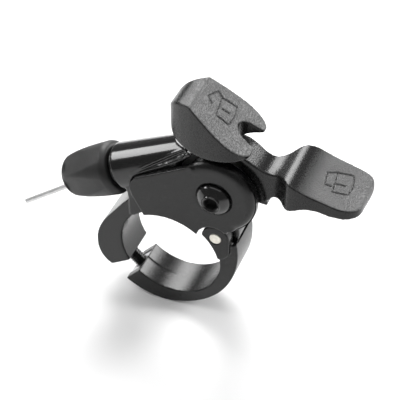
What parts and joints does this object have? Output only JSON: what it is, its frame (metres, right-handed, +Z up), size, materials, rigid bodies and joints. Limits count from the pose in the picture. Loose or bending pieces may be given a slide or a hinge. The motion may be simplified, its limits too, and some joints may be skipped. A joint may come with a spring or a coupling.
{
  "type": "thumb shifter",
  "caption": "Handlebar thumb remote with a hinged bar clamp, a push lever that winds a cable, a release lever above it and a barrel adjuster.",
  "frame": {"origin": "centre of the bar clamp's bore, at the middle of its width", "axes": "+Y along the handlebar, +Z up, +X towards the levers; the cable leaves towards -X"},
  "size_m": [0.0741, 0.0165, 0.0557],
  "materials": {
    "gloss_black": "gloss black paint on a casting",
    "satin_black": "satin black paint",
    "lever_grain": "fine-grained dark grey moulding",
    "matte_black": "matte moulded plastic",
    "black_oxide": "polished black",
    "steel": "plain steel",
    "pin_steel": "bright ground steel",
    "spring_steel": "drawn spring wire",
    "wire": "stranded stainless",
    "aluminium": "turned",
    "brass": "turned",
    "nylon": "moulded nylon"
  },
  "bodies": {
    "housing": {"body": "gloss_black", "cover_plate": "satin_black", "cover_dowels": "steel", "pivot_bolt": "black_oxide", "pivot_nut": "steel", "pivot_sleeve": "brass", "thrust_washer": "nylon", "wave_washer": "steel", "return_spring": "spring_steel", "pawl_pin": "steel", "pawl_spring": "spring_steel", "adjuster_spring": "spring_steel", "clamp_washer": "steel"},
    "main_lever": {"main_lever": "lever_grain", "cable_spool": "nylon", "ratchet_plate": "steel", "hub_rivets": "steel", "cable_nipple": "brass", "wire_wrap": "wire"},
    "release_lever": {"release_lever": "lever_grain"},
    "pawl": {"latch_pawl": "steel"},
    "wire": {"inner_wire": "wire", "wire_tail": "wire"},
    "adjuster_slide": {"adjuster_collar": "satin_black"},
    "adjuster": {"barrel_adjuster": "matte_black", "adjuster_screw": "aluminium"},
    "strap": {"clamp_strap": "satin_black", "hinge_pin": "pin_steel", "clamp_nut": "black_oxide"},
    "clamp_bolt": {"clamp_bolt": "black_oxide"}
  },
  "joints": [
    {"name": "main_turn", "type": "hinge", "parent": "housing", "child": "main_lever", "pos_m": [0.0105, 0, 0.0198], "axis": [0, 1, 0], "range_deg": [0, 40]},
    {"name": "release_turn", "type": "hinge", "parent": "housing", "child": "release_lever", "pos_m": [0.0105, 0, 0.0198], "axis": [0, -1, 0], "range_deg": [0, 10], "stiffness_Nm_per_rad": 0.3, "springref_deg": -5.73},
    {"name": "pawl_turn", "type": "hinge", "parent": "housing", "child": "pawl", "pos_m": [0.0009, 0, 0.0169], "axis": [0, -1, 0], "range_deg": [0, 15]},
    {"name": "wire_slide", "type": "slide", "parent": "housing", "child": "wire", "axis": [0.8829, 0, 0.4695], "range_m": [0, 0.0056], "deforming": ["wire_tail"]},
    {"name": "adjuster_travel", "type": "slide", "parent": "housing", "child": "adjuster_slide", "axis": [-0.8829, 0, -0.4695], "range_m": [0, 0.0024]},
    {"name": "adjuster_turn", "type": "hinge", "parent": "adjuster_slide", "child": "adjuster", "pos_m": [-0.01531, -0.0012, 0.01508], "axis": [-0.8829, 0, -0.4695], "range_deg": [0, 1080]},
    {"name": "strap_swing", "type": "hinge", "parent": "housing", "child": "strap", "pos_m": [0.0105, 0, 0.0084], "axis": [0, -1, 0], "range_deg": [0, 55]},
    {"name": "clamp_bolt_turn", "type": "hinge", "parent": "housing", "child": "clamp_bolt", "pos_m": [-0.00755, 0, -0.01119], "axis": [-0.7355, 0, 0.6776], "continuous": true}
  ],
  "couplings": [
    {"joint": "wire_slide", "follows": "main_turn", "m_per_rad": 0.00795},
    {"joint": "pawl_turn", "follows": "release_turn", "ratio": 1.5},
    {"joint": "adjuster_turn", "follows": "adjuster_travel", "rad_per_m": 7853.9}
  ]
}
